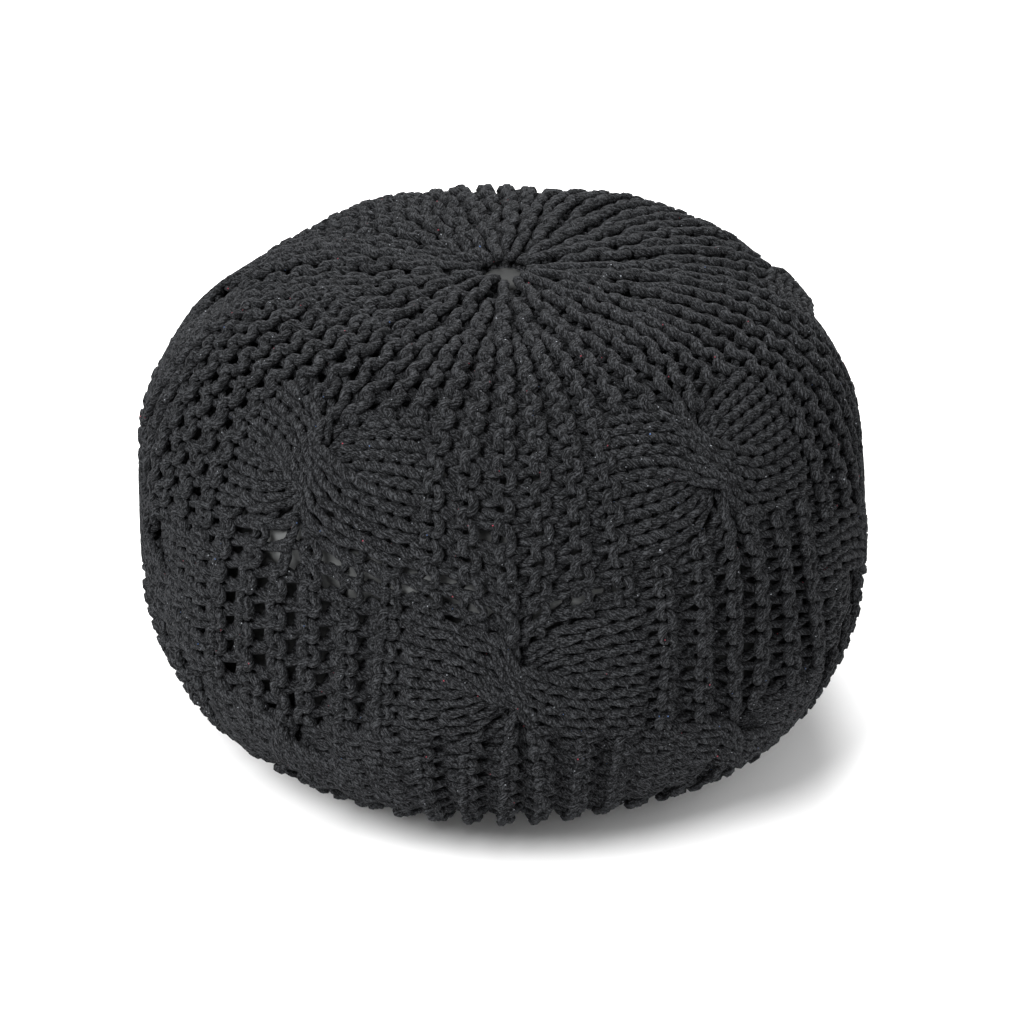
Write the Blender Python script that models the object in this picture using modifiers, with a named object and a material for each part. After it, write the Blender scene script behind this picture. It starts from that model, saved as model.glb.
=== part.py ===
"""A round knitted pouf: a cable-knit cover of thick cotton cord, drawn shut over a filled round bag.

Metres, +Z up. It stands on z = 0 with its axis through x = y = 0. Angles are counted from -Y towards +X.

The cover was knitted sideways: its rows run from the top gather to the bottom one and its wales run
round the pouf. A place on it is given by its row angle and by the arc length from the top pole, and
each cable crossing pulls the stitches around it towards its own centre.
"""

import math

import bpy
import numpy as np

# Driving dimensions
WIDTH = 0.508  # over the crests of the ridges
HEIGHT = 0.3365
MIDDLE_HEIGHT = 0.152  # of the widest ring
TOP_SQUARENESS = (4.11, 2.11)  # powers of the upper outline: outwards, upwards
BOTTOM_SQUARENESS = (4.09, 3.67)
SIDE_WALL = 0.0155  # cover, ridge crests to its back
TOP_WALL = 0.0125
BOTTOM_WALL = 0.009
BAG_CLEARANCE = 0.0004

# The knitting
ROWS = 120
ROW_ANGLE = math.tau / ROWS
RIDGES = ROWS // 2
FIRST_WALE = 0.004  # arc length from the top pole to the first wale's edge
# Wales from the top gather downwards: how many, and how wide each is
WALE_RUNS = (
    # count, width
    (1, 0.032),
    (1, 0.028),
    (1, 0.024),
    (1, 0.020),
    (2, 0.019),
    (1, 0.018),
    (1, 0.017),
    (6, 0.0170),
    (2, 0.0140),
    (6, 0.0162),
    (6, 0.0125),
    (4, 0.0220),
    (4, 0.0340),
)
# Across each ridge of two rows: where its edges lie, and how far below the crests
RIDGE_PROFILE = (
    # rows, depth
    (-0.45, 0.0),
    (0.45, 0.0),
    (1.0, 0.006),
)
FLAT_FROM_WALE = 33  # the wales from here on are pressed flat by the floor
# Wales whose edges carry a ring of the cover's face: every one in the cables, fewer elsewhere
FACE_WALES = (0, 1, 2, 3, 5, 7, *range(8, 15), *range(16, 29), 30, 31, 33)

# The cables, five to a band round the pouf
CABLES_ROUND = 5
CABLE_HALF_ROWS = 7  # from the middle of a cable to the ridge at either end
CABLE_WALES = 6
CROSSING_ROW = -0.5  # from the middle of a cable
# Bands of cables: first wale, angle of the first cable's middle, how far its notches are drawn in
CABLE_BANDS = (
    # wale, angle, draw
    (8, math.radians(-33), 0.025),
    (16, math.radians(3), 0.025),
    (22, math.radians(-33), 0.019),
)
DRAW_ANGLE = math.radians(5.5)
DRAW_REACH = 0.060
CLOSE_ANGLE = math.radians(6)
CLOSE_REACH = 0.024
CLOSE_SHARE = 0.5
STRAND_LIFT = 0.0110  # of the strand in front, over the hollows beside it
STRAND_SINK = 0.0040  # of those hollows
STRAND_HALF_WALES = 1.5  # from a cable's middle to a strand's
STRAND_HALF_WIDTH = 1.3
STRAND_ROWS = 1.8  # in which the strands change places
STRAND_REACH = 4.0
CABLE_LEVEL = -0.0040
NOTCH_DEPTH = 0.003

# The gather at the top
HOLE_RADIUS = 0.012
HOLE_DIP = 0.006
DIP_REACH = 0.020
TUCK_DEPTH = 0.0045
# Ridges that sink between their neighbours near the gather: of every so many, which one, and where
TUCKS = (
    # every, which, arc length where it starts, where it ends
    (2, 1, 0.100, 0.050),
    (4, 2, 0.055, 0.025),
)

# The bag
BAG_STEPS = 36
BAG_RINGS = 16
BAG_BULGE = 0.004  # up into the hole of the gather
BULGE_REACH = 0.022

CHARCOAL_COTTON = ((0.030, 0.031, 0.034, 1.0), 0.92)
GREY_LINING = ((0.085, 0.085, 0.088, 1.0), 0.80)


def outline(half_width, top, bottom, count):
    """Radius and height from the top pole to the bottom one, along two arcs.

    Each arc is r = half width * cos(t)^(2/n) and z = its height * sin(t)^(2/m).
    """
    angle = np.linspace(math.pi / 2, 0, count)
    upper_r = half_width * np.cos(angle) ** (2 / TOP_SQUARENESS[0])
    upper_z = MIDDLE_HEIGHT + (top - MIDDLE_HEIGHT) * np.sin(angle) ** (2 / TOP_SQUARENESS[1])
    angle = angle[::-1][1:]
    lower_r = half_width * np.cos(angle) ** (2 / BOTTOM_SQUARENESS[0])
    lower_z = MIDDLE_HEIGHT - (MIDDLE_HEIGHT - bottom) * np.sin(angle) ** (2 / BOTTOM_SQUARENESS[1])
    r = np.concatenate([upper_r, lower_r])
    z = np.concatenate([upper_z, lower_z])
    r[0] = r[-1] = 0
    return r, z


def arc_lengths(r, z):
    return np.concatenate([[0], np.cumsum(np.hypot(np.diff(r), np.diff(z)))])


def smooth_step(x):
    x = np.clip(x, 0, 1)
    return x * x * (3 - 2 * x)


def turn_between(angle, centre):
    """The signed angle from centre to angle, the short way round."""
    return (angle - centre + math.pi) % math.tau - math.pi


def wale_edges():
    widths = np.concatenate([np.full(count, width) for count, width in WALE_RUNS])
    return FIRST_WALE + np.concatenate([[0], np.cumsum(widths)])


def cables(edges):
    """Each cable as (middle arc length, half height, crossing angle, draw)."""
    for wale, first_angle, draw in CABLE_BANDS:
        low, high = edges[wale], edges[wale + CABLE_WALES]
        for turn in range(CABLES_ROUND):
            angle = first_angle + CROSSING_ROW * ROW_ANGLE + turn * math.tau / CABLES_ROUND
            yield (low + high) / 2, (high - low) / 2, angle, draw


def drawn_in(arc, angle, edges):
    """Where a place on the even knitting goes once every crossing has drawn it in.

    Along the wale direction a point inside a cable moves towards its middle in proportion to its
    distance, and one outside by an amount that falls off exponentially. Both fade with the angle
    from the crossing. Near the two notches of a cable the rows also close up.
    """
    new_arc = arc.copy()
    new_angle = angle.copy()
    for middle, half, crossing, draw in cables(edges):
        away = arc - middle
        outside = np.maximum(np.abs(away) - half, 0)
        turn = turn_between(angle, crossing)
        spread = DRAW_ANGLE * (2 - np.exp(-outside / 0.04))
        fade = np.exp(-np.sqrt(turn**2 + math.radians(1) ** 2) / spread)
        pull = np.where(outside > 0, np.sign(away) * np.exp(-outside / DRAW_REACH), away / half)
        new_arc -= draw * pull * fade
        notch = np.exp(-(((np.abs(away) - half) / CLOSE_REACH) ** 2) - (turn / CLOSE_ANGLE) ** 2)
        new_angle -= CLOSE_SHARE * turn * notch
    return new_arc, new_angle


def relief(ridge, depth, wale, arc, angle):
    """Height of the cover's face over its outline: ridges of two rows, and cables in between.

    In a cable three wales pass from above to below in front of the other three. The middle of each
    three follows a tanh of the rows from the crossing. Those in front stand up and the hollows
    between the strands are pushed in, both fading as a bell curve of the rows.
    """
    face = -depth
    for first, first_angle, _ in CABLE_BANDS:
        inside_wales = (wale > first) & (wale < first + CABLE_WALES)
        at_edge = (wale == first) | (wale == first + CABLE_WALES)
        across = wale - first - CABLE_WALES / 2
        for turn_number in range(CABLES_ROUND):
            middle = first_angle + turn_number * math.tau / CABLES_ROUND
            rows = turn_between(angle, middle) / ROW_ANGLE
            inside_rows = np.abs(rows) < CABLE_HALF_ROWS - 0.7
            rows = rows - CROSSING_ROW
            strand = STRAND_HALF_WALES * np.tanh(rows / STRAND_ROWS)
            front = np.exp(-(((across - strand) / STRAND_HALF_WIDTH) ** 4))
            behind = np.exp(-(((across + strand) / STRAND_HALF_WIDTH) ** 4))
            crossed = np.maximum(STRAND_LIFT * front, STRAND_SINK * behind) - STRAND_SINK
            cable = CABLE_LEVEL + crossed * np.exp(-((rows / STRAND_REACH) ** 2))
            notch = NOTCH_DEPTH * np.exp(-((rows / 1.2) ** 2))
            face = np.where(inside_wales & inside_rows, cable, face)
            face = np.where(at_edge & inside_rows, (CABLE_LEVEL - depth) / 2 - notch, face)
    for every, which, start, end in TUCKS:
        tuck = TUCK_DEPTH * smooth_step((start - arc) / (start - end))
        face = np.where((depth == 0) & (ridge % every == which), face - tuck, face)
    return face * smooth_step((FLAT_FROM_WALE - wale) / 3)


def on_cover(arc, angle, height):
    """Points at an arc length and an angle, raised off the outline along its normal."""
    r, z = outline(WIDTH / 2, HEIGHT, 0.0, 400)
    s = arc_lengths(r, z)
    slope_r = np.gradient(r, s)
    slope_z = np.gradient(z, s)
    place_r = np.interp(arc, s, r) - np.interp(arc, s, slope_z) * height
    place_z = np.interp(arc, s, z) + np.interp(arc, s, slope_r) * height
    place_z -= HOLE_DIP * np.exp(-((place_r / DIP_REACH) ** 2))
    return np.stack([place_r * np.sin(angle), -place_r * np.cos(angle), place_z], axis=-1)


def cover_face():
    """Rings of points down the outside of the cover, each along one wale's edge, three points to a ridge."""
    edges = wale_edges()
    wale, ridge, part = np.meshgrid(
        FACE_WALES, np.arange(RIDGES), np.arange(len(RIDGE_PROFILE)), indexing="ij"
    )
    rows, depths = np.array(RIDGE_PROFILE).T
    arc = edges[wale]
    angle = (2 * ridge + rows[part]) * ROW_ANGLE
    face = relief(ridge, depths[part], wale, arc, angle)
    new_arc, new_angle = drawn_in(arc, angle, edges)
    rings = on_cover(new_arc, new_angle, face)
    around = np.stack([np.sin(angle[0]), -np.cos(angle[0])], axis=-1)
    rings[0, ..., :2] = HOLE_RADIUS * around
    rings[wale == FLAT_FROM_WALE, 2] = 0.0
    return rings.reshape(len(FACE_WALES), -1, 3)


def bag_outline(clearance):
    """The bag's outline, grown by a clearance, with a low bulge where the gather leaves it bare."""
    top = HEIGHT - TOP_WALL + clearance
    bottom = BOTTOM_WALL - clearance
    r, z = outline(WIDTH / 2 - SIDE_WALL + clearance, top, bottom, 400)
    s = arc_lengths(r, z)
    at = np.linspace(0, s[-1], BAG_RINGS + 1)[1:-1]
    at = np.concatenate([[0.3 * at[0]], at])
    ring_r = np.interp(at, s, r)
    ring_z = np.interp(at, s, z) + BAG_BULGE * np.exp(-((np.interp(at, s, r) / BULGE_REACH) ** 2))
    return ring_r, ring_z, top + BAG_BULGE, bottom


def ring_of(radius, height, count):
    angle = np.arange(count) * math.tau / count
    return np.stack([radius * np.sin(angle), -radius * np.cos(angle), np.full(count, height)], axis=-1)


def band_faces(upper, lower, count):
    """Four-sided faces between two rings of the same count, the upper one first, facing outwards."""
    here = np.arange(count)
    after = (here + 1) % count
    return np.stack([upper + here, lower + here, lower + after, upper + after], axis=-1).tolist()


def rim_faces(inner, outer, count, times):
    """Faces between an inner ring of count points and an outer ring with so many times as many."""
    faces = []
    for here in range(count):
        after = (here + 1) % count
        points = [outer + (times * here + step) % (times * count) for step in range(times + 1)]
        half = (times + 1) // 2
        faces += [(inner + here, points[step], points[step + 1]) for step in range(half)]
        faces.append((inner + here, points[half], inner + after))
        faces += [(inner + after, points[step], points[step + 1]) for step in range(half, times)]
    return faces


def fan_faces(centre, ring, count, downwards):
    here = np.arange(count)
    after = (here + 1) % count
    first, second = (after, here) if downwards else (here, after)
    return np.stack([np.full(count, centre), ring + first, ring + second], axis=-1).tolist()


def material(name, colour, roughness):
    made = bpy.data.materials.new(name)
    made.use_nodes = True
    shader = made.node_tree.nodes["Principled BSDF"]
    shader.inputs["Base Color"].default_value = colour
    shader.inputs["Roughness"].default_value = roughness
    shader.inputs["Metallic"].default_value = 0.0
    return made


def object_from(name, points, faces, collection, surface):
    mesh = bpy.data.meshes.new(name)
    mesh.from_pydata(points, [], faces)
    mesh.materials.append(surface)
    mesh.validate()
    mesh.shade_smooth()
    mesh.set_sharp_from_angle(angle=math.radians(50))
    made = bpy.data.objects.new(name, mesh)
    collection.objects.link(made)
    return made


def knitted_cover(collection):
    """The knitted shell, open at the top gather: its outside, the rim of the hole and its plain back."""
    outside = cover_face()
    around = outside.shape[1]
    r, z, _, bottom = bag_outline(BAG_CLEARANCE)
    keep = r > HOLE_RADIUS
    back = [ring_of(HOLE_RADIUS + 0.0005, np.interp(HOLE_RADIUS, r[:4], z[:4]), BAG_STEPS)]
    back += [ring_of(radius, height, BAG_STEPS) for radius, height in zip(r[keep], z[keep])]
    points = [outside.reshape(-1, 3), *back, np.array([[0, 0, 0], [0, 0, bottom]])]
    faces = []
    for ring in range(len(outside) - 1):
        faces += band_faces(ring * around, (ring + 1) * around, around)
    first_back = len(outside) * around
    last_back = first_back + (len(back) - 1) * BAG_STEPS
    underside = last_back + BAG_STEPS
    faces += fan_faces(underside, (len(outside) - 1) * around, around, downwards=True)
    faces += rim_faces(first_back, 0, BAG_STEPS, around // BAG_STEPS)
    for ring in range(len(back) - 1):
        upper = first_back + ring * BAG_STEPS
        faces += [face[::-1] for face in band_faces(upper, upper + BAG_STEPS, BAG_STEPS)]
    faces += fan_faces(underside + 1, last_back, BAG_STEPS, downwards=False)
    surface = material("charcoal_cotton", *CHARCOAL_COTTON)
    return object_from("knitted_cover", np.concatenate(points), faces, collection, surface)


def inner_bag(collection):
    """The filled bag: its outline turned round the axis."""
    r, z, top, bottom = bag_outline(0.0)
    r = np.concatenate([[0], r, [0]])
    z = np.concatenate([[top], z, [bottom]])
    profile = bpy.data.meshes.new("inner_bag")
    points = [(0.0, -radius, height) for radius, height in zip(r, z)]
    profile.from_pydata(points, [(i, i + 1) for i in range(len(points) - 1)], [])
    profile.materials.append(material("grey_lining", *GREY_LINING))
    bag = bpy.data.objects.new("inner_bag", profile)
    collection.objects.link(bag)
    turned = bag.modifiers.new("Turned", "SCREW")
    turned.steps = turned.render_steps = BAG_STEPS
    turned.use_merge_vertices = True
    turned.merge_threshold = 0.0001
    turned.use_smooth_shade = True
    return bag


def main():
    for obj in list(bpy.data.objects):
        bpy.data.objects.remove(obj, do_unlink=True)
    pouf = bpy.data.collections.new("knitted_pouf")
    bpy.context.scene.collection.children.link(pouf)
    knitted_cover(pouf)
    inner_bag(pouf)


main()
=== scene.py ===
"""A round knitted pouf in thick charcoal cotton cord, with the lining bag that shows in its gather.

Every row of the knitting is drawn as one length of cord that follows the turns of its loops. Cords
share space where they cross: they look looped, but aren't separate bodies. Metres, +Z up. Angles are
counted from -Y towards +X. A place on the cover is given by its row (numbered towards smaller angles,
120 rows round the pouf) and its wale (36 of them, from the top gather to the bottom one), then by the
angle and the arc length from the top pole along the cover's outline.
"""

import math

import bpy
import numpy as np
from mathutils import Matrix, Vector


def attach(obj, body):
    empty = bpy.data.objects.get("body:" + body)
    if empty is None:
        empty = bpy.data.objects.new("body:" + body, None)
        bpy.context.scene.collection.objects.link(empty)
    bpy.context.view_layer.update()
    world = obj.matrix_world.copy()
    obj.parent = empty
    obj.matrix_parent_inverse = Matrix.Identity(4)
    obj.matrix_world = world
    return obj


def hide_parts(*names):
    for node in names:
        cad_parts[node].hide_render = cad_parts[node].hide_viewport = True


bl_info = {
    "name": "Knitted Pouf",
    "version": (1, 0, 0),
    "blender": (4, 5, 0),
    "location": "View3D > Sidebar > Pouf",
    "description": "A cable-knit pouf of thick cotton cord over a filled bag",
    "category": "Add Mesh",
}

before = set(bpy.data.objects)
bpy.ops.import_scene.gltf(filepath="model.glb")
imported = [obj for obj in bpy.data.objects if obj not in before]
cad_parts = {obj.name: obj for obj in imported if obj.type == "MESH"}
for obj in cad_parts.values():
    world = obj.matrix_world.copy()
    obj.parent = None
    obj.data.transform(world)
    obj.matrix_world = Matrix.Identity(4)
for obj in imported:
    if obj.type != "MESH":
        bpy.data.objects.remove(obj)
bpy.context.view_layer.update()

# The cover's outline, over the crests of its ridges
WIDTH = 0.508
HEIGHT = 0.3365
MIDDLE_HEIGHT = 0.152
TOP_SQUARENESS = (4.11, 2.11)
BOTTOM_SQUARENESS = (4.09, 3.67)

# The knitting
ROWS = 120
WALES = 36
ROW_ANGLE = math.tau / ROWS
ROWS_A_PIECE = 24
RIDGE_OFFSET = 0.4  # rows from a bumpy row to the middle of the ridge that it makes
FIRST_WALE = 0.0155
WALE_RUNS = (
    # count, width
    (1, 0.0225),
    (1, 0.026),
    (1, 0.024),
    (1, 0.020),
    (2, 0.019),
    (1, 0.018),
    (1, 0.017),
    (6, 0.0170),
    (2, 0.0140),
    (6, 0.0162),
    (6, 0.0125),
    (4, 0.0220),
    (4, 0.0340),
)

# The cables, five to a band round the pouf
CABLES_ROUND = 5
CABLE_HALF_ROWS = 7
CABLE_WALES = 6
CROSSING_ROW = -0.5
CABLE_BANDS = (
    # wale, angle, draw
    (8, math.radians(-33), 0.031),
    (16, math.radians(3), 0.030),
    (22, math.radians(-33), 0.020),
)
DRAW_ANGLE = math.radians(5.5)
DRAW_REACH = 0.060
CLOSE_ANGLE = math.radians(6)
CLOSE_REACH = 0.030
CLOSE_SHARE = 0.7
DRAW_WIDENING = 0.04  # arc length over which the draw reaches wider outside a cable
DRAW_ROUNDING = math.radians(1)
STRAND_HALF_WALES = 1.5
STRAND_ROWS = 1.6
STRAND_SPREAD = 0.6
CROSSING_REACH = 1.3  # of a crossing, as a multiple of STRAND_ROWS
CABLE_EDGE_ROWS = 1.5
CABLE_EDGE_WALES = 1.2

# A stitch: the loop's turn in degrees, then how far the turn follows this row's face and the next one's
STITCH_TURNS = (
    # turn, this row, next row
    (0, -1.0, 0.0),
    (22, -0.9, 0.0),
    (38, -0.4, 0.0),
    (54, 0.45, 0.0),
    (72, 1.0, 0.0),
    (108, 0.0, 1.0),
    (126, 0.0, 0.45),
    (142, 0.0, -0.4),
    (158, 0.0, -0.9),
    (180, 0.0, -1.0),
    (202, 0.0, -0.9),
    (218, 0.0, -0.4),
    (234, 0.0, 0.45),
    (252, 0.0, 1.0),
    (288, 1.0, 0.0),
    (306, 0.45, 0.0),
    (322, -0.4, 0.0),
    (338, -0.9, 0.0),
)
CORD_SIDES = 6
CORD_SPACING = 0.37  # metres of cord by which each row's twist is offset from the one before

# Smooth steps along the arc length, each (where it starts, how far on it is complete, its size)
RIDGE_SWELLS = ((0.225, -0.060, 0.0018), (0.270, 0.050, 0.0020))
RIDGE_CLOSING = 0.15
RIDGE_CLOSINGS = ((0.060, 0.050, 0.18), (0.250, 0.140, 0.17))
RIDGE_THINNING = ((0.16, 0.12, -0.07),)
GATHER_THINNING = ((0.050, -0.030, 1.0),)
UNDERSIDE_LIFT = ((0.480, 0.080, -0.0006),)
LOOSE_GAPS = ((0.100, 0.040, 0.08), (0.370, 0.040, 0.05))
BAG_LOW_SINK = ((0.270, 0.050, -0.0045),)
LOOSE_BUMP_SHARE = -0.4  # of a smooth stitch's loose gap, for a bump stitch

# How much the cord thins, as a share of its radius, and how its plumpness varies through a stitch
CROSSING_THIN, OPENING_THIN, GATHER_THIN = 0.15, 0.17, 0.12
RIDGE_PLUMP, CABLE_PLUMP, CABLE_THIN = 0.05, 0.10, 0.03
# How much the cloth's thickness and the ridges flatten at a crossing and at an opening
CROSSING_FLAT, OPENING_FLAT, OPENING_RIDGE_FLAT = 0.32, 0.2, 0.35
# Unevenness from stitch to stitch: of the row at the loop, of the row's place, of the radius
UNEVEN_LOOP, UNEVEN_ROW, UNEVEN_RADIUS = 0.05, 0.02, 0.02

# The lining bag: rings near the gather, rings below it, points round it, and how deep it lies
BAG_TOP_ARCS = (0.002, 0.050, 24)
BAG_ARCS = (0.056, 0.004, 92)  # first arc length, distance from the bottom pole, rings
BAG_STEPS = 144
BAG_DEPTH = 0.0205
BAG_TOP_SINK = (0.008, 0.080, 4)  # size, reach, power
BAG_TOP_RISE = (0.0188, 0.021, 6)
BAG_OPENING_RISE = 0.0115
BAG_WAVE_REACH = 0.040

# The camera, fitted to the outline of the pouf with its width held
CAMERA_DISTANCE = 2.0
CAMERA_AIM = 0.168
CAMERA_ELEVATION = math.radians(30)
FLOOR_HALF = 6
LIGHT_AIM = 0.17
LIGHTS = (
    # name, place, size, power
    ("key_light", (-1.4, -1.6, 2.4), 1.6, 118.0),
    ("fill_light", (1.9, -0.9, 1.6), 1.6, 14.0),
    ("back_light", (0.2, 2.2, 2.2), 1.8, 118.0),
)

# Finish
PLIES = 4.0
FIBRES_ALONG = 330.0
FIBRES_ROUND = 3.2
# Painted shade: the dark colour that the grooves between the plies are mixed towards
PLY_GROOVE_PAINTED_SHADE = (0.0030, 0.0030, 0.0030, 1.0)
RED_FLECK = (0.30, 0.05, 0.07, 1.0)
BLUE_FLECK = (0.07, 0.13, 0.30, 1.0)
RED_FROM, BLUE_TO = 0.84, 0.10
DIM_FLECK = 0.35
WEAVE_SCALE = 420.0

# Pleats at the top gather: of every so many rows, the middle ones stay up and the rest fold under
PLEATS = (
    # rows, sharpness, sharpness at the gather, arc length where it starts, where it is full, depth
    (4, 1.2, 0.35, 0.120, 0.065, 0.010),
    (8, 0.6, 0.50, 0.050, 0.026, 0.010),
)
GATHER_DIP = 0.0035
GATHER_REACH = 0.017
GATHER_SHIFT = 0.004  # the gather sits this far behind the pouf's middle
GATHER_SHIFT_REACH = 0.070

# Where the filling pushes the cover out or lets it sink, placed to follow the outline in the photo
BULGES = (
    # angle, arc length, reach in angle, reach in arc length, height
    (math.radians(-88), 0.290, math.radians(28), 0.060, 0.0085),
    (math.radians(85), 0.240, math.radians(40), 0.090, 0.0035),
    (math.radians(112), 0.180, math.radians(20), 0.040, 0.0035),
    (math.radians(-56), 0.405, math.radians(24), 0.050, 0.0085),
    (math.radians(52), 0.405, math.radians(18), 0.045, 0.0075),
    (math.radians(16), 0.440, math.radians(12), 0.040, -0.0045),
    (math.radians(-118), 0.170, math.radians(14), 0.050, -0.0040),
    (math.radians(-160), 0.150, math.radians(16), 0.060, 0.0030),
    (math.radians(140), 0.160, math.radians(18), 0.060, 0.0030),
)

# Where the cables pull stitches apart until the bag shows. Those in front follow the photo
OPENINGS = (
    # angle in degrees, arc length, share
    (-44, 0.284, 0.6),
    (-39, 0.287, 1.0),
    (-34.5, 0.278, 0.9),
    (-38, 0.299, 1.0),
    (-34, 0.295, 0.8),
    (-29.5, 0.286, 0.7),
    (-28, 0.298, 0.9),
    (-23, 0.290, 1.0),
    (-21, 0.280, 0.6),
    (-24, 0.307, 0.9),
    (-16, 0.302, 1.0),
    (-13, 0.292, 0.8),
    (-8, 0.296, 0.8),
    (-5, 0.301, 1.0),
    (-3.5, 0.312, 1.0),
    (4.5, 0.316, 0.7),
    (8, 0.310, 0.8),
    (12, 0.306, 0.9),
    (16, 0.302, 0.7),
    (0, 0.258, 0.5),
    (4, 0.224, 0.4),
)
# The same places are repeated round the back, which doesn't show: turn in degrees, share
OPENING_TURNS = ((0, 1.0), (144, 0.8), (216, 0.9))
OPENING_REACH = (math.radians(3.2), 0.0075)
GAP_SIZE = 0.215
GAP_GAIN = 1.7
GAP_LEAST = 0.05


def outline_table():
    """Radius, height and arc length down the outline, from the top pole to the bottom one.

    Two arcs, each r = half width * cos(t)^(2/n) and z = its height * sin(t)^(2/m).
    """
    angle = np.linspace(math.pi / 2, 0, 600)
    top = HEIGHT - MIDDLE_HEIGHT
    upper_r = WIDTH / 2 * np.cos(angle) ** (2 / TOP_SQUARENESS[0])
    upper_z = MIDDLE_HEIGHT + top * np.sin(angle) ** (2 / TOP_SQUARENESS[1])
    angle = angle[::-1][1:]
    lower_r = WIDTH / 2 * np.cos(angle) ** (2 / BOTTOM_SQUARENESS[0])
    lower_z = MIDDLE_HEIGHT * (1 - np.sin(angle) ** (2 / BOTTOM_SQUARENESS[1]))
    r = np.concatenate([upper_r, lower_r])
    z = np.concatenate([upper_z, lower_z])
    r[0] = r[-1] = 0
    s = np.concatenate([[0], np.cumsum(np.hypot(np.diff(r), np.diff(z)))])
    return r, z, s


OUTLINE_R, OUTLINE_Z, OUTLINE_S = outline_table()
SLOPE_R = np.gradient(OUTLINE_R, OUTLINE_S)
SLOPE_Z = np.gradient(OUTLINE_Z, OUTLINE_S)
WALE_EDGES = FIRST_WALE + np.concatenate(
    [[0], np.cumsum(np.concatenate([np.full(count, width) for count, width in WALE_RUNS]))]
)


def smooth_step(x):
    """x^2 (3 - 2x) with x held between 0 and 1."""
    x = np.clip(x, 0, 1)
    return x * x * (3 - 2 * x)


def stepped(base, arc, steps):
    """The base plus, for each (start, reach, size), size * smooth_step((arc - start) / reach)."""
    for start, reach, size in steps:
        base = base + size * smooth_step((arc - start) / reach)
    return base


def turn_between(angle, centre):
    """The signed angle from centre to angle, the short way round."""
    return (angle - centre + math.pi) % math.tau - math.pi


def row_angle(row):
    """ROW_ANGLE * (1 + RIDGE_OFFSET - row): row numbers run towards smaller angles.

    Ridges lie at multiples of 6 degrees.
    """
    return ROW_ANGLE * (1 + RIDGE_OFFSET - row)


def cables():
    """Each cable as (first wale, middle angle, crossing angle, draw)."""
    for wale, first_angle, draw in CABLE_BANDS:
        for turn in range(CABLES_ROUND):
            middle = first_angle + turn * math.tau / CABLES_ROUND
            yield wale, middle, middle + CROSSING_ROW * ROW_ANGLE, draw


def stitch_faces():
    """+1 where a stitch shows its smooth side, -1 where it shows its bump, by row and wale.

    Every second row is bumps, except in the cables, which are smooth all through.
    """
    row, wale = np.meshgrid(np.arange(ROWS), np.arange(WALES), indexing="ij")
    face = np.where(row % 2 == 1, -1.0, 1.0)
    ridge_angle = row_angle(row + RIDGE_OFFSET)
    for first, middle, _, _ in cables():
        rows = turn_between(ridge_angle, middle) / ROW_ANGLE
        inside = (np.abs(rows) < CABLE_HALF_ROWS - 0.5) & (wale >= first)
        face = np.where(inside & (wale < first + CABLE_WALES), 1.0, face)
    return face


def drawn_in(arc, angle):
    """Where a place on the even knitting goes once every crossing has drawn it in.

    Along the wale direction a point inside a cable moves towards its middle in proportion to its
    distance, and one outside by an amount that falls off exponentially. Both fade with the angle
    from the crossing. Near the two notches of a cable the rows also close up.
    """
    new_arc = arc.copy()
    new_angle = angle.copy()
    for first, _, crossing, draw in cables():
        low, high = WALE_EDGES[first], WALE_EDGES[first + CABLE_WALES]
        half = (high - low) / 2
        away = arc - (low + high) / 2
        outside = np.maximum(np.abs(away) - half, 0)
        turn = turn_between(angle, crossing)
        spread = DRAW_ANGLE * (2 - np.exp(-outside / DRAW_WIDENING))
        rounded = np.sqrt(turn**2 + DRAW_ROUNDING**2) - DRAW_ROUNDING
        fade = np.exp(-rounded / spread)
        pull = np.where(outside > 0, np.sign(away) * np.exp(-outside / DRAW_REACH), away / half)
        new_arc -= draw * pull * fade
        notch = np.exp(-(((np.abs(away) - half) / CLOSE_REACH) ** 2) - (turn / CLOSE_ANGLE) ** 2)
        new_angle -= CLOSE_SHARE * turn * notch
    return new_arc, new_angle


def crossed(wale, angle, row):
    """Moves the stitches of each cable to their place in its crossing.

    The needle holds the front three wales first on the rows after the crossing and last on the rows
    before it. At x rows from the crossing a stitch lies side * STRAND_HALF_WALES * tanh(x /
    STRAND_ROWS) wales below the cable's middle, plus its own offset in its strand, side being +1 in
    front and -1 behind. In front the offset grows by STRAND_SPREAD * bell, with bell = exp(-(x /
    (CROSSING_REACH * STRAND_ROWS))^2). Returns the new wale, how far in front (+1) or behind (-1) a
    stitch is, and the shares of it that are inside a cable and at its crossing.
    """
    new_wale = wale.copy()
    front = np.zeros_like(wale)
    inside = np.zeros_like(wale)
    near = np.zeros_like(wale)
    for first, middle, crossing, _ in cables():
        rows = turn_between(angle, middle) / ROW_ANGLE
        local = wale - first
        here = (np.abs(rows) < CABLE_HALF_ROWS) & (local > 0) & (local < CABLE_WALES)
        x = turn_between(angle, crossing) / ROW_ANGLE
        before = turn_between(row_angle(row + RIDGE_OFFSET), crossing) > 0
        last_three = local >= CABLE_WALES / 2
        side = np.where(before == last_three, 1.0, -1.0)
        offset = local - CABLE_WALES / 4 - CABLE_WALES / 2 * last_three
        bell = np.exp(-((x / STRAND_ROWS / CROSSING_REACH) ** 2))
        wider = 1 + STRAND_SPREAD * np.maximum(side, 0) * bell
        place = side * STRAND_HALF_WALES * np.tanh(x / STRAND_ROWS) + offset * wider
        new_wale = np.where(here, first + CABLE_WALES / 2 + place, new_wale)
        front = np.where(here, side * bell, front)
        near = np.where(here, bell, near)
        edge = smooth_step((CABLE_HALF_ROWS - np.abs(rows)) / CABLE_EDGE_ROWS)
        from_middle = np.abs(local - CABLE_WALES / 2)
        across = smooth_step((CABLE_WALES / 2 + 0.6 - from_middle) / CABLE_EDGE_WALES)
        inside = np.maximum(inside, edge * across)
    return new_wale, front, inside, near


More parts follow.
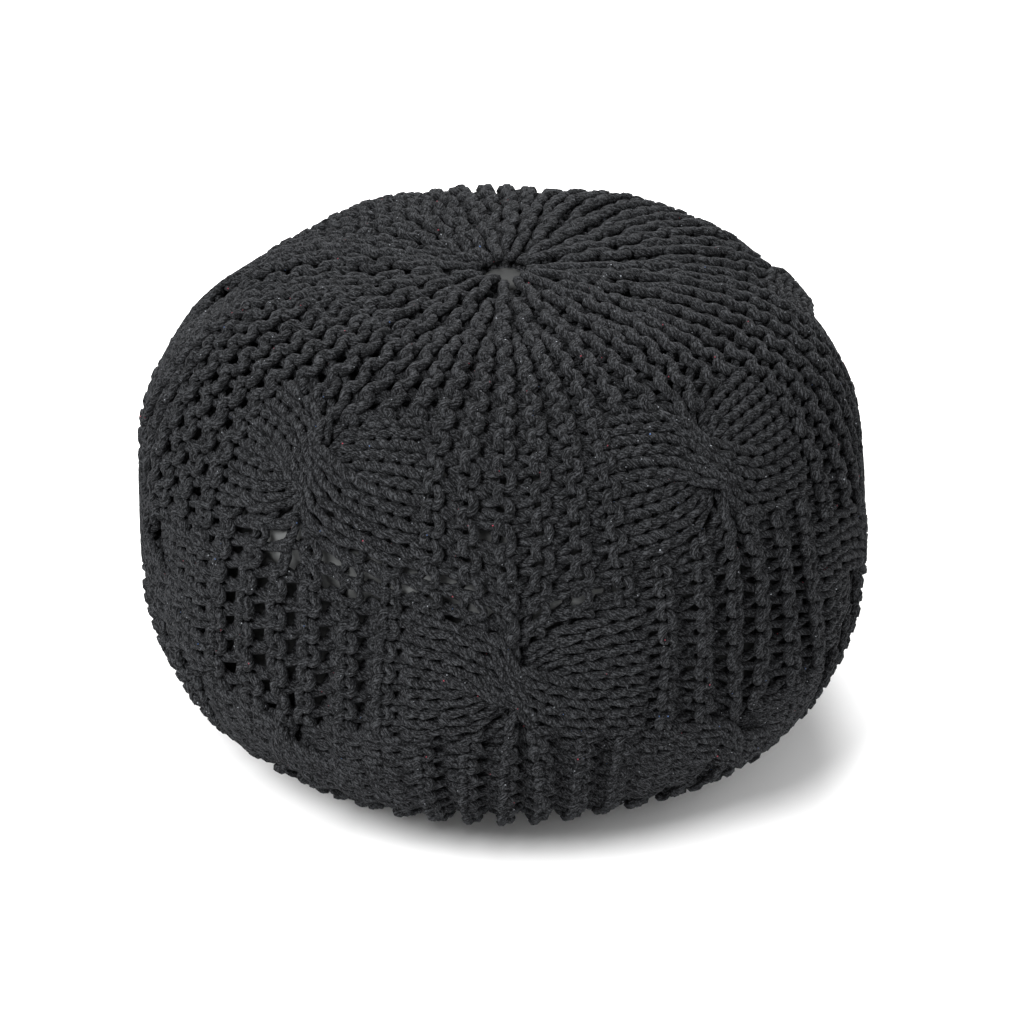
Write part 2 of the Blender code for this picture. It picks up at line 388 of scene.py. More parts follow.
def pleated(row, arc):
    """Rows crowd into pleats towards the gather.

    In each pleat the middle rows spread as tanh(2 sharpness x) / tanh(2 sharpness), x being the share
    of the pleat's half width, and the rows near its edges sink by a smooth step. Returns the new row
    and the sink.
    """
    sink = np.zeros_like(row)
    for count, sharpness, inner_sharpness, start, full, depth in PLEATS:
        share = smooth_step((start - arc) / (start - full))
        sharp = inner_sharpness + (sharpness - inner_sharpness) * smooth_step((arc - 0.028) / 0.045)
        x = ((row - 1 - RIDGE_OFFSET + count / 2) % count - count / 2) / (count / 2)
        spread = np.tanh(2 * sharp * x) / np.tanh(2 * sharp)
        row = row + share * (spread - x) * count / 2
        sink = sink + depth * share * smooth_step((np.abs(x) - 0.45) / 0.5)
    return row, sink


def openness(angle, arc, spread=1.5):
    """How far the cloth is pulled open: the highest of the bells in angle and arc length.

    Each is share * exp(-(turn / spread)^2 - (arc length away / spread)^2), in units of OPENING_REACH.
    """
    opened = np.zeros_like(angle)
    for turn, turn_share in OPENING_TURNS:
        for middle, arc_middle, share in OPENINGS:
            away = turn_between(angle, math.radians(middle + turn)) / OPENING_REACH[0]
            down = (arc - arc_middle) / OPENING_REACH[1]
            bell = np.exp(-((away / spread) ** 2) - (down / spread) ** 2)
            opened = np.maximum(opened, share * turn_share * bell)
    return opened


def leg_gaps(row, face):
    """How far the legs of each stitch lean away from its first and its second wale edge, in wales.

    Between two stitches the legs part at the openings. In the ridged cloth the two legs of a smooth
    stitch also lie close together, more so low down where the cloth hangs loose, and those of a bump
    stitch behind them lie further apart. Smooth stitches next to smooth ones, in the cables, don't.
    """
    edges = WALE_EDGES + 0.0 * row
    arc, angle = drawn_in(edges, row_angle(row + 0.5) + 0.0 * edges)
    opening = GAP_SIZE * np.clip(GAP_GAIN * openness(angle, arc, 1.0), 0, 1)
    in_cable = (face + np.roll(face, 1, axis=0) > 1) | (face + np.roll(face, -1, axis=0) > 1)
    side = np.where(in_cable, 0.0, np.where(face > 0, 1.0, LOOSE_BUMP_SHARE))[row[:, 0]]
    loose = stepped(0.0, edges, LOOSE_GAPS)
    first = np.where(opening[:, :-1] > GAP_LEAST, opening[:, :-1], side * loose[:, :-1])
    second = np.where(opening[:, 1:] > GAP_LEAST, opening[:, 1:], side * loose[:, 1:])
    return first, second


def bulge(angle, arc):
    """Height of the uneven filling: a sum of bells in angle and arc length."""
    height = np.zeros_like(angle)
    for middle, arc_middle, reach, arc_reach, size in BULGES:
        turn = turn_between(angle, middle) / reach
        height += size * np.exp(-(turn**2) - ((arc - arc_middle) / arc_reach) ** 2)
    return height


def waves(angle, arc, seed, size, lobes):
    """A smooth uneven field round the pouf: the sum of a dozen sine waves of angle and arc length."""
    draw = np.random.default_rng(seed)
    field = np.zeros_like(angle)
    for _ in range(12):
        turns = draw.integers(1, lobes + 1)
        field += np.sin(turns * angle + draw.uniform(-40, 40) * arc + draw.uniform(0, math.tau))
    return size * field / math.sqrt(6)


def on_pouf(arc, angle, height):
    """Points at an arc length and an angle, raised off the outline along its normal, and the normals."""
    normal_r = -np.interp(arc, OUTLINE_S, SLOPE_Z)
    normal_z = np.interp(arc, OUTLINE_S, SLOPE_R)
    r = np.interp(arc, OUTLINE_S, OUTLINE_R) + normal_r * height
    z = np.interp(arc, OUTLINE_S, OUTLINE_Z) + normal_z * height
    z = z - GATHER_DIP * np.exp(-((r / GATHER_REACH) ** 2)) * (z > MIDDLE_HEIGHT)
    across, along = np.sin(angle), -np.cos(angle)
    shift = GATHER_SHIFT * np.exp(-((r / GATHER_SHIFT_REACH) ** 2)) * (z > MIDDLE_HEIGHT)
    points = np.stack([r * across, r * along + shift, z], axis=-1)
    return points, np.stack([normal_r * across, normal_r * along, normal_z], axis=-1)


def cord_path(rows, sizes):
    """The middle line of the cord through whole rows of stitches: points, surface normals and radii.

    Through one stitch the loop's turn t goes from 0 to 360 degrees. The wale is the stitch's number
    + t / 360 + lean * sin 2t and the row is its own + loop / 2 * (1 - cos t). Across the cloth's
    thickness the cord follows STITCH_TURNS, on the side that its own stitch and the next row's show.
    """
    turns = np.array(STITCH_TURNS)
    face = stitch_faces()
    next_face = np.roll(face, -1, axis=0)
    draw = np.random.default_rng(5)
    uneven = draw.normal(0, 1, (3, ROWS, WALES + 1))
    step = np.arange(WALES * len(turns) + 1)
    wale = np.minimum(step // len(turns), WALES - 1)
    turn = np.where(step == step[-1], math.tau, np.radians(turns[step % len(turns), 0]))
    this_row = np.where(step == step[-1], -1.0, turns[step % len(turns), 1])
    next_row = np.where(step == step[-1], 0.0, turns[step % len(turns), 2])
    row = rows[:, None]
    own = face[row, wale]
    before = face[row, np.maximum(wale - 1, 0)]
    own = np.where(step % len(turns) == 0, (own + before) / 2, own)
    depth = this_row * own + next_row * next_face[row, wale]
    share = smooth_step(turn / math.tau)
    jitter = uneven[:, row, wale] * (1 - share) + uneven[:, row, wale + 1] * share

    middle = np.arange(WALES) + 0.5 + 0.0 * row
    middle_angle = row_angle(row + 0.5) + 0 * middle
    middle_arc = np.interp(middle, np.arange(WALES + 1), WALE_EDGES)
    middle_arc, middle_angle = drawn_in(middle_arc, middle_angle)
    lean = sizes.lean * (1 - 0.7 * openness(middle_angle, middle_arc))[:, wale]

    first_gap, second_gap = leg_gaps(row, face)
    parted = np.where(turn < math.pi, first_gap[:, wale], second_gap[:, wale])
    place = wale + turn / math.tau + lean * np.sin(2 * turn) + parted * np.sin(turn)
    along = row + sizes.loop / 2 * (1 - np.cos(turn)) + UNEVEN_LOOP * jitter[0]
    narrow = stepped(RIDGE_CLOSING, WALE_EDGES[wale], RIDGE_CLOSINGS)
    narrow = narrow * np.where(own > 0, 1, np.where(next_face[row, wale] > 0, 0, 1))
    along = along - narrow * np.sin(math.pi * (along - 1 - RIDGE_OFFSET)) / math.pi
    angle = row_angle(along)
    new_wale, front, inside, near = crossed(place, angle, row)
    arc = np.interp(new_wale, np.arange(WALES + 1), WALE_EDGES)
    swell = stepped(sizes.wave, arc, RIDGE_SWELLS)
    pleat_row, sink = pleated(along, arc)
    arc, angle = drawn_in(arc, row_angle(pleat_row + UNEVEN_ROW * jitter[1]))
    angle = angle + waves(angle, arc, 11, 1, 9) * (0.001 + 0.0016 / (arc + 0.02))
    opened = openness(angle, arc)
    arc = arc + waves(angle, arc, 12, 0.0012, 9)
    ridge = np.cos(math.pi * (along - 1 - RIDGE_OFFSET)) * (1 - inside)
    wave = swell * (ridge * (1 - OPENING_RIDGE_FLAT * opened) - 1)
    ridge_plump = stepped(RIDGE_PLUMP * np.cos(2 * turn), arc, RIDGE_THINNING)
    plump = (1 - inside) * ridge_plump + inside * (CABLE_PLUMP * np.cos(4 * turn) - CABLE_THIN)
    thinner = 1 + plump - CROSSING_THIN * near - OPENING_THIN * opened
    thinner = thinner - GATHER_THIN * stepped(0.0, arc, GATHER_THINNING)
    radius = sizes.radius * (thinner + UNEVEN_RADIUS * jitter[2])
    height = -sizes.depth - sizes.radius - sink + (swell - sizes.cable_level) * inside
    flat = 1 - CROSSING_FLAT * near - OPENING_FLAT * opened
    height = height + sizes.depth * flat * depth + wave
    height = height + np.where(front > 0, sizes.lift, sizes.push) * front
    height = height + waves(angle, arc, 13, 0.0009, 12) + bulge(angle, arc)
    height = stepped(height, arc, UNDERSIDE_LIFT)
    points, normals = on_pouf(arc, angle, height)
    return points, normals, radius


def cord_mesh(name, points, normals, radius):
    """A mesh of cords: round each point a ring at radius * (cos a * side + sin a * up).

    Side is the cord's direction crossed with the surface normal, and up completes the three. The UV
    map holds metres along the cord and the share of the way round it.
    """
    rows, count, _ = points.shape
    along = np.gradient(points, axis=1)
    along /= np.linalg.norm(along, axis=-1, keepdims=True)
    side = np.cross(along, normals)
    side /= np.linalg.norm(side, axis=-1, keepdims=True)
    up = np.cross(side, along)
    a = np.arange(CORD_SIDES) * math.tau / CORD_SIDES
    ring = np.cos(a)[:, None] * side[:, :, None] + np.sin(a)[:, None] * up[:, :, None]
    verts = points[:, :, None] + radius[:, :, None, None] * ring
    index = np.arange(rows * count * CORD_SIDES).reshape(rows, count, CORD_SIDES)
    after = np.roll(index, -1, axis=2)
    quads = np.stack([index[:, :-1], index[:, 1:], after[:, 1:], after[:, :-1]], axis=-1)
    quads = quads.reshape(-1)
    caps = np.concatenate([index[:, 0], index[:, -1, ::-1]]).reshape(-1)
    steps = np.linalg.norm(np.diff(points, axis=1), axis=-1)
    metres = np.concatenate([np.zeros((rows, 1)), np.cumsum(steps, axis=1)], axis=1)
    metres += np.arange(rows)[:, None] * CORD_SPACING
    share = np.arange(CORD_SIDES + 1) / CORD_SIDES
    u0 = np.repeat(metres[:, :-1, None], CORD_SIDES, 2)
    u1 = np.repeat(metres[:, 1:, None], CORD_SIDES, 2)
    v0, v1 = np.broadcast_to(share[:-1], u0.shape), np.broadcast_to(share[1:], u0.shape)
    quad_uv = np.stack(
        [np.stack([u0, v0], -1), np.stack([u1, v0], -1), np.stack([u1, v1], -1), np.stack([u0, v1], -1)],
        axis=-2,
    ).reshape(-1, 2)
    cap_uv = np.tile(np.stack([np.zeros(CORD_SIDES), share[:-1]], -1), (2 * rows, 1))

    mesh = bpy.data.meshes.new(name)
    mesh.vertices.add(verts.size // 3)
    mesh.vertices.foreach_set("co", verts.reshape(-1).astype(np.float32))
    corners = np.concatenate([quads, caps]).astype(np.int32)
    mesh.loops.add(len(corners))
    mesh.loops.foreach_set("vertex_index", corners)
    sizes = np.concatenate([np.full(len(quads) // 4, 4), np.full(2 * rows, CORD_SIDES)])
    starts = np.concatenate([[0], np.cumsum(sizes)[:-1]]).astype(np.int32)
    mesh.polygons.add(len(sizes))
    mesh.polygons.foreach_set("loop_start", starts)
    uv = mesh.uv_layers.new(name="cord")
    mesh.update(calc_edges=True)
    uv.uv.foreach_set("vector", np.concatenate([quad_uv, cap_uv]).reshape(-1).astype(np.float32))
    mesh.shade_smooth()
    mesh.validate()
    return mesh


def grid_mesh(name, points):
    """A closed mesh of rings of points from the top down, with a point at either pole."""
    rings, count, _ = points.shape
    poles = np.array([points[0].mean(axis=0), points[-1].mean(axis=0)])
    index = np.arange(rings * count).reshape(rings, count)
    after = np.roll(index, -1, axis=1)
    quads = np.stack([index[:-1], index[1:], after[1:], after[:-1]], axis=-1).reshape(-1, 4)
    top = np.stack([np.full(count, rings * count), index[0], after[0]], axis=-1)
    bottom = np.stack([np.full(count, rings * count + 1), after[-1], index[-1]], axis=-1)
    mesh = bpy.data.meshes.new(name)
    verts = np.concatenate([points.reshape(-1, 3), poles])
    mesh.from_pydata(verts, [], quads.tolist() + top.tolist() + bottom.tolist())
    mesh.shade_smooth()
    return mesh


def add_object(name, mesh, material):
    """A new object of the mesh in the scene, with the material."""
    piece = bpy.data.objects.new(name, mesh)
    bpy.context.scene.collection.objects.link(piece)
    mesh.materials.append(material)
    return piece


def add_node(tree, kind, label="", **values):
    """A node of the kind, its inputs set by name or by _number, and linked where given an output.

    A name that starts with set_ sets a property of the node itself.
    """
    node = tree.nodes.new(kind)
    node.label = label
    for key, value in values.items():
        if key.startswith("set_"):
            setattr(node, key[4:], value)
            continue
        socket = node.inputs[int(key[1:])] if key[0] == "_" else node.inputs[key.replace("_", " ")]
        if isinstance(value, bpy.types.NodeSocket):
            tree.links.new(value, socket)
        else:
            socket.default_value = value
    return node


def maths(tree, operation, *values):
    """The output of a maths node, given numbers or links in order."""
    node = tree.nodes.new("ShaderNodeMath")
    node.operation = operation
    for socket, value in zip(node.inputs, values):
        if isinstance(value, bpy.types.NodeSocket):
            tree.links.new(value, socket)
        else:
            socket.default_value = value
    return node.outputs[0]


def mixed(tree, share, first, second):
    """A colour between two, by a share of the second."""
    node = tree.nodes.new("ShaderNodeMix")
    node.data_type = "RGBA"
    sockets = [node.inputs["Factor"], *(s for s in node.inputs if s.type == "RGBA")]
    for socket, value in zip(sockets, (share, first, second)):
        if isinstance(value, bpy.types.NodeSocket):
            tree.links.new(value, socket)
        else:
            socket.default_value = value
    return next(s for s in node.outputs if s.type == "RGBA")


def new_group(name, inputs, outputs):
    """A shader node group with its sockets, and its input and output nodes."""
    group = bpy.data.node_groups.new(name, "ShaderNodeTree")
    for label, kind, default in inputs:
        socket = group.interface.new_socket(label, in_out="INPUT", socket_type=kind)
        if default is not None:
            socket.default_value = default
    for label, kind in outputs:
        group.interface.new_socket(label, in_out="OUTPUT", socket_type=kind)
    return group, group.nodes.new("NodeGroupInput"), group.nodes.new("NodeGroupOutput")


def cotton_fuzz_group():
    """Height of short cotton fibres from noise on the given place, and a slow unevenness of shade."""
    group, start, end = new_group(
        "cotton_fuzz",
        [
            ("Fibre Place", "NodeSocketVector", None),
            ("Fibre Scale", "NodeSocketFloat", 1.0),
            ("Grain Scale", "NodeSocketFloat", 900.0),
            ("Shade Scale", "NodeSocketFloat", 60.0),
        ],
        [("Height", "NodeSocketFloat"), ("Shade", "NodeSocketFloat")],
    )
    place = group.nodes.new("ShaderNodeTexCoord").outputs["Object"]
    fibre_place, fibre_scale, grain_scale, shade_scale = (start.outputs[number] for number in range(4))
    fibre = add_node(
        group, "ShaderNodeTexNoise", Vector=fibre_place, Scale=fibre_scale, Detail=2.0, Roughness=0.6
    )
    grain = add_node(
        group, "ShaderNodeTexNoise", Vector=place, Scale=grain_scale, Detail=3.0, Roughness=0.7
    )
    height = maths(group, "MULTIPLY", maths(group, "ADD", fibre.outputs[0], grain.outputs[0]), 0.5)
    shade = add_node(group, "ShaderNodeTexNoise", Vector=place, Scale=shade_scale, Detail=2.0)
    group.links.new(height, end.inputs["Height"])
    group.links.new(shade.outputs[0], end.inputs["Shade"])
    return group


def flecks_group():
    """Small stray fibres of other colours: a spot in a few cells of a Voronoi pattern."""
    group, start, end = new_group(
        "stray_flecks",
        [
            ("Scale", "NodeSocketFloat", 520.0),
            ("Radius", "NodeSocketFloat", 0.27),
            ("Share", "NodeSocketFloat", 0.035),
        ],
        [("Mask", "NodeSocketFloat"), ("Kind", "NodeSocketFloat")],
    )
    place = group.nodes.new("ShaderNodeTexCoord").outputs["Object"]
    cells = add_node(group, "ShaderNodeTexVoronoi", Vector=place, Scale=start.outputs["Scale"])
    spread = add_node(group, "ShaderNodeSeparateColor", Color=cells.outputs["Color"])
    radius = maths(group, "MULTIPLY", start.outputs["Radius"], spread.outputs[2])
    close = maths(group, "LESS_THAN", cells.outputs["Distance"], radius)
    chosen = maths(group, "LESS_THAN", spread.outputs[0], start.outputs["Share"])
    group.links.new(maths(group, "MULTIPLY", close, chosen), end.inputs["Mask"])
    group.links.new(spread.outputs[1], end.inputs["Kind"])
    return group


def cord_material(looks, fuzz, flecks):
    """Charcoal cotton cord: twisted plies and fibres raised by bump, uneven shade, stray flecks, and
    painted shade that darkens the grooves between the plies.

    The plies follow x = fract(PLIES * (length / twist + share of the way round)), each as high as
    1 - (2x - 1)^2. The colours were set to match the brightness of the photo, and weren't measured.
    """
    material = bpy.data.materials.new("charcoal_cotton_cord")
    material.use_nodes = True
    tree = material.node_tree
    shader = tree.nodes["Principled BSDF"]
    uv = add_node(tree, "ShaderNodeUVMap", set_uv_map="cord")
    split = add_node(tree, "ShaderNodeSeparateXYZ", _0=uv.outputs[0])
    turns = maths(tree, "DIVIDE", split.outputs[0], looks.twist)
    round_share = maths(tree, "ADD", turns, split.outputs[1])
    phase = maths(tree, "FRACT", maths(tree, "MULTIPLY", round_share, PLIES))
    across = maths(tree, "MULTIPLY_ADD", phase, 2.0, -1.0)
    ply = maths(tree, "SUBTRACT", 1.0, maths(tree, "MULTIPLY", across, across))
    round_angle = maths(tree, "MULTIPLY", round_share, math.tau)
    fibre_place = add_node(
        tree,
        "ShaderNodeCombineXYZ",
        X=maths(tree, "MULTIPLY", split.outputs[0], FIBRES_ALONG),
        Y=maths(tree, "MULTIPLY", maths(tree, "COSINE", round_angle), FIBRES_ROUND),
        Z=maths(tree, "MULTIPLY", maths(tree, "SINE", round_angle), FIBRES_ROUND),
    )
    cotton = add_node(tree, "ShaderNodeGroup", set_node_tree=fuzz)
    tree.links.new(fibre_place.outputs[0], cotton.inputs["Fibre Place"])
    cotton.inputs["Grain Scale"].default_value = 760.0
    cotton.inputs["Shade Scale"].default_value = 55.0
    spots = add_node(tree, "ShaderNodeGroup", set_node_tree=flecks)
    ply_height = maths(tree, "MULTIPLY", ply, 0.4)
    height = maths(tree, "ADD", ply_height, maths(tree, "MULTIPLY", cotton.outputs["Height"], 0.9))
    bump = add_node(tree, "ShaderNodeBump", Height=height, Distance=0.0011, Strength=1.0)
    tree.links.new(bump.outputs[0], shader.inputs["Normal"])
    shade = maths(tree, "MULTIPLY_ADD", cotton.outputs["Shade"], 1.4, -0.2)
    base = mixed(tree, shade, looks.dark, looks.light)
    # Painted shade: the grooves between the plies are darkened towards the painted shade colour
    groove_painted_shade = maths(tree, "MULTIPLY_ADD", ply, 0.45, 0.55)
    base = mixed(tree, groove_painted_shade, PLY_GROOVE_PAINTED_SHADE, base)
    fibre_shade = maths(tree, "MULTIPLY_ADD", cotton.outputs["Height"], 8.0, -3.8)
    fibre_shade.node.use_clamp = True
    base = mixed(tree, fibre_shade, base, looks.fibre)
    red = maths(tree, "GREATER_THAN", spots.outputs["Kind"], RED_FROM)
    blue = maths(tree, "LESS_THAN", spots.outputs["Kind"], BLUE_TO)
    dim = [DIM_FLECK * channel for channel in looks.fleck[:3]] + [1.0]
    fleck = mixed(tree, spots.outputs["Kind"], looks.fleck, dim)
    fleck = mixed(tree, red, fleck, RED_FLECK)
    fleck = mixed(tree, blue, fleck, BLUE_FLECK)
    base = mixed(tree, spots.outputs["Mask"], base, fleck)
    tree.links.new(base, shader.inputs["Base Color"])
    shader.inputs["Roughness"].default_value = 0.95
    shader.inputs["Specular IOR Level"].default_value = 0.05
    shader.inputs["Sheen Weight"].default_value = 0.02
    shader.inputs["Sheen Roughness"].default_value = 0.5
    shader.inputs["Sheen Tint"].default_value = (0.75, 0.77, 0.82, 1.0)
    return material


def lining_material(looks, fuzz):
    """Plain-woven lining cloth: a fine weave raised by two crossed waves, slow unevenness of shade, and
    painted light, a lighter colour where the cover opens over the bag.
    """
    material = bpy.data.materials.new("grey_lining_cloth")
    material.use_nodes = True
    tree = material.node_tree
    shader = tree.nodes["Principled BSDF"]
    place = tree.nodes.new("ShaderNodeTexCoord").outputs["Object"]
    warp = add_node(tree, "ShaderNodeTexWave", Vector=place, Scale=WEAVE_SCALE, set_bands_direction="X")
    weft = add_node(tree, "ShaderNodeTexWave", Vector=place, Scale=WEAVE_SCALE, set_bands_direction="Y")
    weave = maths(tree, "MULTIPLY", warp.outputs["Fac"], weft.outputs["Fac"])
    cotton = add_node(tree, "ShaderNodeGroup", set_node_tree=fuzz)
    tree.links.new(place, cotton.inputs["Fibre Place"])
    cotton.inputs["Fibre Scale"].default_value = 1600.0
    cotton.inputs["Grain Scale"].default_value = 1600.0
    cotton.inputs["Shade Scale"].default_value = 25.0
    height = maths(tree, "ADD", weave, cotton.outputs["Height"])
    bump = add_node(tree, "ShaderNodeBump", Height=height, Distance=0.0002, Strength=0.6)
    tree.links.new(bump.outputs[0], shader.inputs["Normal"])
    darker = [0.75 * channel for channel in looks.lining[:3]] + [1.0]
    base = mixed(tree, cotton.outputs["Shade"], darker, looks.lining)
    # Painted light: the lining is mixed towards a lighter colour where the cover opens, standing in for
    # the light that reaches the bag there
    opening_painted_light = add_node(tree, "ShaderNodeAttribute", set_attribute_name="opening_painted_light")
    base = mixed(tree, opening_painted_light.outputs["Fac"], base, looks.lit_lining_painted_light)
    tree.links.new(base, shader.inputs["Base Color"])
    shader.inputs["Roughness"].default_value = 0.85
    shader.inputs["Specular IOR Level"].default_value = 0.10
    return material


def floor_material(colour):
    """Pale matt studio paper with a very faint grain."""
    material = bpy.data.materials.new("studio_paper")
    material.use_nodes = True
    tree = material.node_tree
    shader = tree.nodes["Principled BSDF"]
    place = tree.nodes.new("ShaderNodeTexCoord").outputs["Object"]
    grain = add_node(tree, "ShaderNodeTexNoise", Vector=place, Scale=300.0)
    bump = add_node(tree, "ShaderNodeBump", Height=grain.outputs[0], Distance=0.0001, Strength=0.1)
    tree.links.new(bump.outputs[0], shader.inputs["Normal"])
    shader.inputs["Base Color"].default_value = colour
    shader.inputs["Roughness"].default_value = 0.9
    return material


def shared_group(name, build):
    """The node group of that name, built when it is first asked for."""
    return bpy.data.node_groups.get(name) or build()


class PoufKnit(bpy.types.PropertyGroup):
    """Sizes of the cord and its stitches."""

    radius: bpy.props.FloatProperty(
        name="Cord Radius",
        description="Half the thickness of the cord",
        default=0.0033,
        subtype="DISTANCE",
    )
    depth: bpy.props.FloatProperty(
        name="Loop Depth",
        description="From the middle of the cloth to a loop's cord",
        default=0.0032,
        subtype="DISTANCE",
    )
    loop: bpy.props.FloatProperty(
        name="Loop Height", description="Height of a loop, in rows", default=1.8
    )
    lean: bpy.props.FloatProperty(
        name="Lean", description="How far a loop's legs lean apart, in wales", default=0.21
    )
    wave: bpy.props.FloatProperty(
        name="Ridge Height",
        description="How far the ridges stand out and the valleys in",
        default=0.0035,
        subtype="DISTANCE",
    )
    cable_level: bpy.props.FloatProperty(
        name="Cable Level",
        description="How much deeper the cables' cloth lies than the ridges",
        default=0.0035,
        subtype="DISTANCE",
    )
    lift: bpy.props.FloatProperty(
        name="Strand Lift",
        description="How far the front strand stands up at a crossing",
        default=0.0060,
        subtype="DISTANCE",
    )
    push: bpy.props.FloatProperty(
        name="Strand Push",
        description="How far the back strand is pushed in at a crossing",
        default=0.0055,
        subtype="DISTANCE",
    )


class PoufLooks(bpy.types.PropertyGroup):
    """Colours and finish."""

    dark: bpy.props.FloatVectorProperty(
        name="Cord Dark",
        description="Darker shade of the cord",
        default=(0.0028, 0.0029, 0.0032, 1.0),
        size=4,
        subtype="COLOR",
    )
    light: bpy.props.FloatVectorProperty(
        name="Cord Light",
        description="Lighter shade of the cord",
        default=(0.0092, 0.0096, 0.0104, 1.0),
        size=4,
        subtype="COLOR",
    )
    fibre: bpy.props.FloatVectorProperty(
        name="Fibre",
        description="Shade of the raised fibres",
        default=(0.0530, 0.0550, 0.0590, 1.0),
        size=4,
        subtype="COLOR",
    )
    fleck: bpy.props.FloatVectorProperty(
        name="Fleck",
        description="Stray light fibres",
        default=(0.36, 0.38, 0.41, 1.0),
        size=4,
        subtype="COLOR",
    )
    lining: bpy.props.FloatVectorProperty(
        name="Lining",
        description="Colour of the bag",
        default=(0.042, 0.0432, 0.0432, 1.0),
        size=4,
        subtype="COLOR",
    )
    # Painted light: a lighter copy of the lining colour for where the cover opens, standing in for the
    # light that reaches the bag there
    lit_lining_painted_light: bpy.props.FloatVectorProperty(
        name="Lit Lining Painted Light",
        description="Colour of the bag where it is stretched",
        default=(0.135, 0.139, 0.139, 1.0),
        size=4,
        subtype="COLOR",
    )
    floor: bpy.props.FloatVectorProperty(
        name="Floor",
        description="Colour of the studio floor",
        default=(0.95, 0.95, 0.95, 1.0),
        size=4,
        subtype="COLOR",
    )
    twist: bpy.props.FloatProperty(
        name="Twist",
        description="Length of one turn of the cord's plies",
        default=0.022,
        subtype="DISTANCE",
    )


class POUF_OT_cover(bpy.types.Operator):
    """Knit the cover: 120 rows of looped cord in five pieces of 24 rows"""

    bl_idname = "pouf.cover"
    bl_label = "Knitted Cover"

    def execute(self, context):
        sizes = context.scene.pouf_knit
        fuzz = shared_group("cotton_fuzz", cotton_fuzz_group)
        flecks = shared_group("stray_flecks", flecks_group)
        material = cord_material(context.scene.pouf_looks, fuzz, flecks)
        for number, first in enumerate(range(0, ROWS, ROWS_A_PIECE), 1):
            name = f"cover_rows_{number}"
            path = cord_path(np.arange(first, first + ROWS_A_PIECE), sizes)
            piece = add_object(name, cord_mesh(name, *path), material)
            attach(piece, "root")
            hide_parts("knitted_cover")
        return {"FINISHED"}


class POUF_OT_bag(bpy.types.Operator):
    """Make the filled lining bag, which swells a little into the gather"""

    bl_idname = "pouf.bag"
    bl_label = "Lining Bag"

    def execute(self, context):
        first_arc, from_pole, rings = BAG_ARCS
        lower_arcs = np.linspace(first_arc, OUTLINE_S[-1] - from_pole, rings)
        arcs = np.concatenate([np.linspace(*BAG_TOP_ARCS), lower_arcs])
        arc, angle = np.meshgrid(arcs, np.arange(BAG_STEPS) * math.tau / BAG_STEPS, indexing="ij")
        r = np.interp(arc, OUTLINE_S, OUTLINE_R)
        top = arc < OUTLINE_S[-1] / 2
        opened = openness(angle, arc)
        height = stepped(bulge(angle, arc) - BAG_DEPTH, arc, BAG_LOW_SINK)
        size, reach, power = BAG_TOP_SINK
        height = height - size * np.exp(-((r / reach) ** power)) * top
        size, reach, power = BAG_TOP_RISE
        height = height + size * np.exp(-((r / reach) ** power)) * top
        height = height + waves(angle, arc, 21, 0.0010, 7) * smooth_step(r / BAG_WAVE_REACH)
        height = height + BAG_OPENING_RISE * opened
        points, _ = on_pouf(arc, angle, height)
        fuzz = shared_group("cotton_fuzz", cotton_fuzz_group)
        material = lining_material(context.scene.pouf_looks, fuzz)
        piece = add_object("lining_bag", grid_mesh("lining_bag", points), material)
        # Painted light: how far the cover opens at each point, used to paint the lining lighter there
        opening_painted_light = piece.data.attributes.new("opening_painted_light", "FLOAT", "POINT")
        values = np.append(opened.reshape(-1), [0.0, 0.0]).astype(np.float32)
        opening_painted_light.data.foreach_set("value", values)
        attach(piece, "root")
        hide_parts("inner_bag")
        return {"FINISHED"}


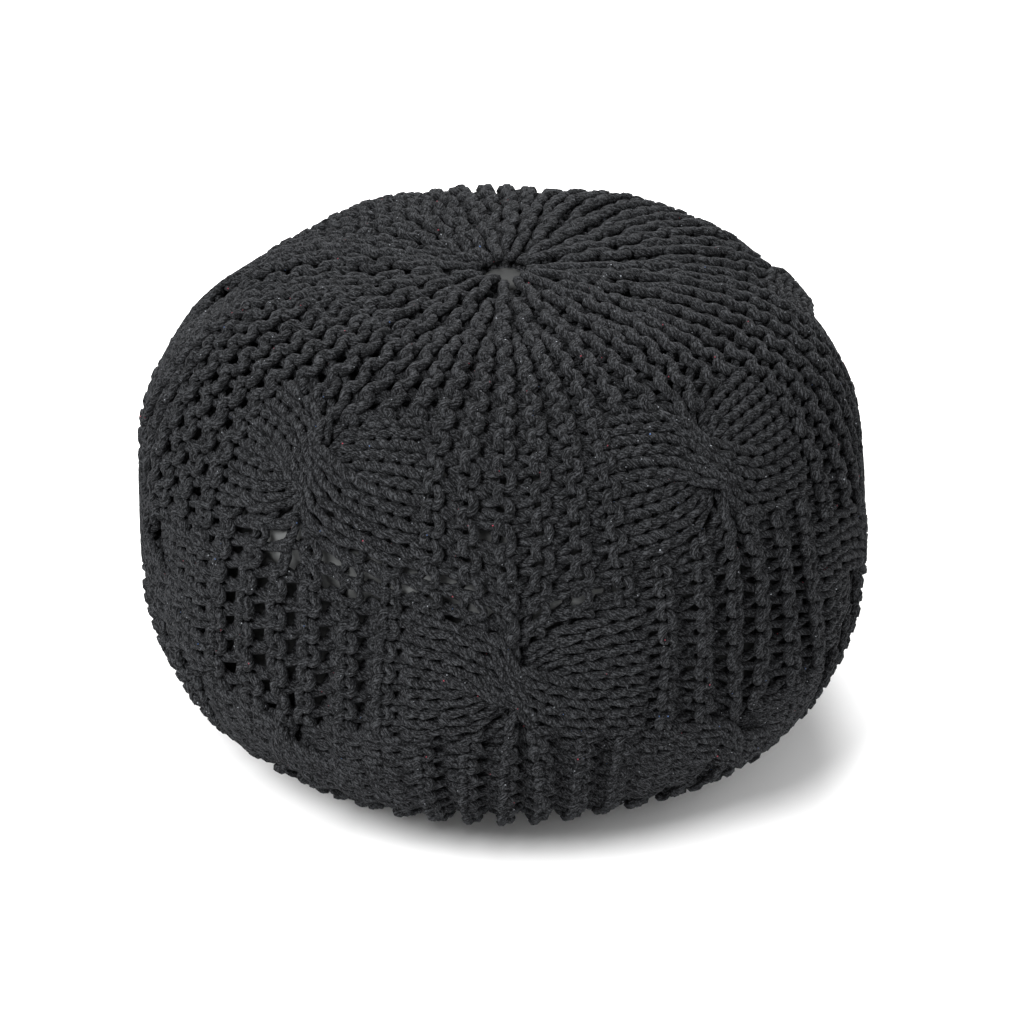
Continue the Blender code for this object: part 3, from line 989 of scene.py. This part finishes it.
class POUF_OT_stage(bpy.types.Operator):
    """Set the pale floor, the soft light and the camera"""

    bl_idname = "pouf.stage"
    bl_label = "Stage"

    def execute(self, context):
        scene = context.scene
        looks = scene.pouf_looks
        mesh = bpy.data.meshes.new("studio_floor")
        corners = [(FLOOR_HALF * x, FLOOR_HALF * y, 0) for x, y in ((-1, -1), (1, -1), (1, 1), (-1, 1))]
        mesh.from_pydata(corners, [], [(0, 1, 2, 3)])
        add_object("studio_floor", mesh, floor_material(looks.floor))

        world = bpy.data.worlds.new("studio")
        world.use_nodes = True
        background = world.node_tree.nodes["Background"]
        background.inputs["Color"].default_value = (1.0, 1.0, 1.0, 1.0)
        background.inputs["Strength"].default_value = 0.62
        scene.world = world
        scene.view_settings.view_transform = "Standard"
        for name, place, size, power in LIGHTS:
            light = bpy.data.lights.new(name, "AREA")
            light.shape = "DISK"
            light.size = size
            light.energy = power
            lamp = bpy.data.objects.new(name, light)
            lamp.location = place
            aim = Vector((0, 0, LIGHT_AIM)) - lamp.location
            lamp.rotation_euler = aim.to_track_quat("-Z", "Y").to_euler()
            scene.collection.objects.link(lamp)

        camera = bpy.data.cameras.new("photo_camera")
        camera.sensor_width = 36.0
        camera.lens = 100.6
        camera.shift_x = 0.0066
        camera.shift_y = -0.0313
        viewer = bpy.data.objects.new("photo_camera", camera)
        back = CAMERA_DISTANCE * math.cos(CAMERA_ELEVATION)
        up = CAMERA_DISTANCE * math.sin(CAMERA_ELEVATION)
        viewer.location = (0, -back, CAMERA_AIM + up)
        viewer.rotation_euler = (math.pi / 2 - CAMERA_ELEVATION, 0, 0)
        scene.collection.objects.link(viewer)
        scene.camera = viewer
        return {"FINISHED"}


class POUF_PT_panel(bpy.types.Panel):
    """Lists the pouf's sizes, colours and pieces"""

    bl_label = "Knitted Pouf"
    bl_idname = "POUF_PT_panel"
    bl_space_type = "VIEW_3D"
    bl_region_type = "UI"
    bl_category = "Pouf"

    def draw(self, context):
        for group in (context.scene.pouf_knit, context.scene.pouf_looks):
            for name in type(group).__annotations__:
                self.layout.prop(group, name)
        for kind in PIECES:
            self.layout.operator(kind.bl_idname)


PIECES = (POUF_OT_stage, POUF_OT_bag, POUF_OT_cover)
CLASSES = (PoufKnit, PoufLooks, *PIECES, POUF_PT_panel)


def register():
    for kind in CLASSES:
        bpy.utils.register_class(kind)
    bpy.types.Scene.pouf_knit = bpy.props.PointerProperty(type=PoufKnit)
    bpy.types.Scene.pouf_looks = bpy.props.PointerProperty(type=PoufLooks)


def unregister():
    del bpy.types.Scene.pouf_looks
    del bpy.types.Scene.pouf_knit
    for kind in reversed(CLASSES):
        bpy.utils.unregister_class(kind)


def main():
    register()
    bpy.ops.pouf.stage()
    bpy.ops.pouf.bag()
    bpy.ops.pouf.cover()


if __name__ == "__main__":
    main()
